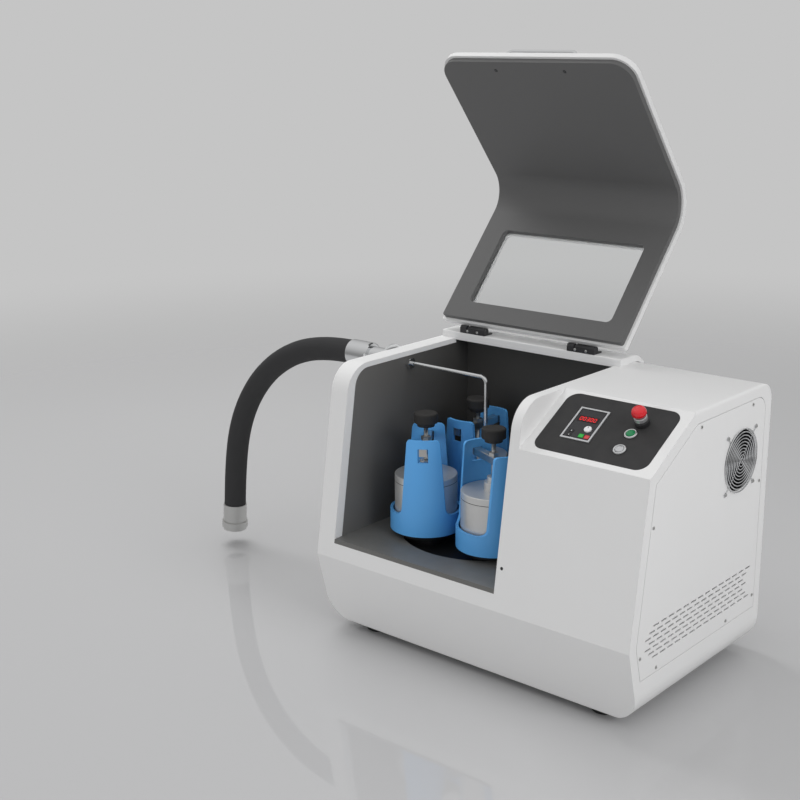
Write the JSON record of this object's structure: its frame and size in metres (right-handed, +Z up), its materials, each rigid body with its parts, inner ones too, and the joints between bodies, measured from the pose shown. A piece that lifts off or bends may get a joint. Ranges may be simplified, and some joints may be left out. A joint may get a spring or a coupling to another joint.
{
  "type": "planetary ball mill",
  "caption": "Bench mill with grinding jars on a geared turntable in a lidded chamber, a control console and a hose for cooling gas.",
  "frame": {"origin": "bottom centre of the box round the machine with its lid open, hose and inlet fitting left out", "axes": "+X to the console's side, +Y to the back, +Z up"},
  "size_m": [1.2403, 0.6036, 1.1273],
  "materials": {
    "cabinet_paint": "light grey-white fine texture paint",
    "panel_paint": "light grey-white paint",
    "steel": "turned steel",
    "chrome": "chrome plate",
    "black_plastic": "black plastic",
    "liner_grey": "dark grey satin",
    "frame_black": "black paint",
    "rubber": "black rubber",
    "motor_grey": "grey motor paint",
    "white_plastic": "white plastic",
    "red_plastic": "red plastic",
    "green_plastic": "green plastic",
    "dark_steel": "polished steel",
    "lid_liner_grey": "mid-dark grey matt plastic",
    "glass": "clear pane",
    "hose_black": "ribbed black insulating hose",
    "holder_blue": "satin blue paint",
    "jar_white": "white ceramic-like gloss"
  },
  "bodies": {
    "cabinet": {"cabinet_shell": "cabinet_paint", "side_panel": "panel_paint", "panel_screws": "steel", "fan_guard": "chrome", "fan_housing": "black_plastic", "chamber_liner": "liner_grey", "chamber_floor": "liner_grey", "base_frame": "frame_black", "feet": "rubber", "spindle_housing": "frame_black", "sun_gear": "steel", "drive_motor": "motor_grey", "drive_belt": "rubber", "inverter": "black_plastic", "control_panel": "black_plastic", "button_collars": "chrome", "hinge_beam": "cabinet_paint", "hinge_brackets": "black_plastic", "inlet_fitting": "steel", "nozzle_tube": "chrome", "supply_hose": "hose_black", "hose_coupling": "steel", "mains_inlet": "black_plastic"},
    "turntable": {"turntable": "frame_black", "main_shaft": "steel"},
    "motor_rotor": {"motor_pulley": "steel"},
    "fan_rotor": {"fan_rotor": "black_plastic"},
    "lid": {"lid_shell": "cabinet_paint", "lid_liner": "lid_liner_grey", "window_pane": "glass", "lid_handle": "steel", "hinge_arms": "black_plastic"},
    "estop": {"estop_head": "red_plastic"},
    "start": {"start_button": "green_plastic"},
    "power": {"power_button": "dark_steel"},
    "dial": {"speed_dial": "white_plastic"},
    "planet_1": {"planet_spindle_1": "frame_black", "jar_holder_1": "holder_blue", "grinding_jar_1": "dark_steel", "jar_lid_1": "steel", "clamp_bar_1": "steel"},
    "clamp_1": {"clamp_knob_1": "black_plastic"},
    "planet_2": {"planet_spindle_2": "frame_black", "jar_holder_2": "holder_blue", "grinding_jar_2": "jar_white", "jar_lid_2": "jar_white", "clamp_bar_2": "steel"},
    "clamp_2": {"clamp_knob_2": "black_plastic"},
    "planet_3": {"planet_spindle_3": "frame_black", "jar_holder_3": "holder_blue", "grinding_jar_3": "steel", "jar_lid_3": "steel", "clamp_bar_3": "steel"},
    "clamp_3": {"clamp_knob_3": "black_plastic"},
    "planet_4": {"planet_spindle_4": "frame_black", "jar_holder_4": "holder_blue", "grinding_jar_4": "steel", "jar_lid_4": "steel", "clamp_bar_4": "steel"},
    "clamp_4": {"clamp_knob_4": "black_plastic"}
  },
  "joints": [
    {"name": "lid_hinge", "type": "hinge", "parent": "cabinet", "child": "lid", "pos_m": [-0.1348, 0.09117, 0.5615], "axis": [1, 0, 0], "range_deg": [0, 131.8]},
    {"name": "turntable_spin", "type": "hinge", "parent": "cabinet", "child": "turntable", "pos_m": [-0.12305, -0.06723, 0.186], "axis": [0, 0, 1], "continuous": true},
    {"name": "motor_spin", "type": "hinge", "parent": "cabinet", "child": "motor_rotor", "pos_m": [0.2262, -0.06723, 0.102], "axis": [0, 0, 1], "continuous": true},
    {"name": "fan_spin", "type": "hinge", "parent": "cabinet", "child": "fan_rotor", "pos_m": [0.3552, 0.05917, 0.4124], "axis": [1, 0, 0], "continuous": true},
    {"name": "speed_dial_turn", "type": "hinge", "parent": "cabinet", "child": "dial", "pos_m": [0.19308, -0.18961, 0.49454], "axis": [0, -0.4939, 0.8695], "range_deg": [-150, 150]},
    {"name": "estop_press", "type": "slide", "parent": "cabinet", "child": "estop", "axis": [0, 0.4939, -0.8695], "range_m": [0, 0.004], "stiffness_N_per_m": 400, "springref_m": -0.003},
    {"name": "start_press", "type": "slide", "parent": "cabinet", "child": "start", "axis": [0, 0.4939, -0.8695], "range_m": [0, 0.003], "stiffness_N_per_m": 400, "springref_m": -0.003},
    {"name": "power_press", "type": "slide", "parent": "cabinet", "child": "power", "axis": [0, 0.4939, -0.8695], "range_m": [0, 0.003], "stiffness_N_per_m": 400, "springref_m": -0.003},
    {"name": "planet_1_spin", "type": "hinge", "parent": "turntable", "child": "planet_1", "pos_m": [-0.20578, -0.14996, 0.186], "axis": [0, 0, 1], "continuous": true},
    {"name": "clamp_1_turn", "type": "hinge", "parent": "planet_1", "child": "clamp_1", "pos_m": [-0.20578, -0.14996, 0.3923], "axis": [0, 0, 1], "range_deg": [0, 1080]},
    {"name": "planet_2_spin", "type": "hinge", "parent": "turntable", "child": "planet_2", "pos_m": [-0.04032, -0.14996, 0.186], "axis": [0, 0, 1], "continuous": true},
    {"name": "clamp_2_turn", "type": "hinge", "parent": "planet_2", "child": "clamp_2", "pos_m": [-0.04032, -0.14996, 0.3923], "axis": [0, 0, 1], "range_deg": [0, 1080]},
    {"name": "planet_3_spin", "type": "hinge", "parent": "turntable", "child": "planet_3", "pos_m": [-0.04032, 0.0155, 0.186], "axis": [0, 0, 1], "continuous": true},
    {"name": "clamp_3_turn", "type": "hinge", "parent": "planet_3", "child": "clamp_3", "pos_m": [-0.04032, 0.0155, 0.3923], "axis": [0, 0, 1], "range_deg": [0, 1080]},
    {"name": "planet_4_spin", "type": "hinge", "parent": "turntable", "child": "planet_4", "pos_m": [-0.20578, 0.0155, 0.186], "axis": [0, 0, 1], "continuous": true},
    {"name": "clamp_4_turn", "type": "hinge", "parent": "planet_4", "child": "clamp_4", "pos_m": [-0.20578, 0.0155, 0.3923], "axis": [0, 0, 1], "range_deg": [0, 1080]}
  ],
  "couplings": [
    {"joint": "motor_spin", "follows": "turntable_spin", "ratio": 2.5},
    {"joint": "planet_1_spin", "follows": "turntable_spin", "ratio": 1},
    {"joint": "planet_2_spin", "follows": "turntable_spin", "ratio": 1},
    {"joint": "planet_3_spin", "follows": "turntable_spin", "ratio": 1},
    {"joint": "planet_4_spin", "follows": "turntable_spin", "ratio": 1}
  ]
}
